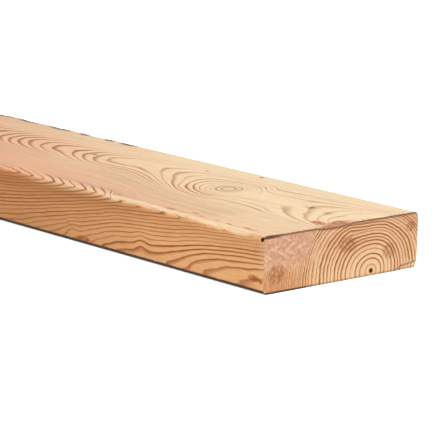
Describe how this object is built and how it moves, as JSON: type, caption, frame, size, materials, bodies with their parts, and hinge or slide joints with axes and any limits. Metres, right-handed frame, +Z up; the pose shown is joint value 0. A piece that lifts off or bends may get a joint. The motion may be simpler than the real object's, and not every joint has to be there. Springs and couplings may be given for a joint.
{
  "type": "softwood lumber plank",
  "caption": "Straight dressed softwood plank of solid sawn timber with eased long arrises and square sawn ends, for framing, joists and decking.",
  "frame": {"origin": "centre of the underside, halfway along the plank", "axes": "+X along the plank towards the trimmed end that shows the pith, +Y across the width towards the nicked arris, +Z up through the thickness"},
  "size_m": [2.4384, 0.1396, 0.0381],
  "materials": {
    "dressed_softwood": "planed faces with open growth rings, rough sawn ends"
  },
  "bodies": {
    "root": {"plank": "dressed_softwood"}
  },
  "joints": []
}
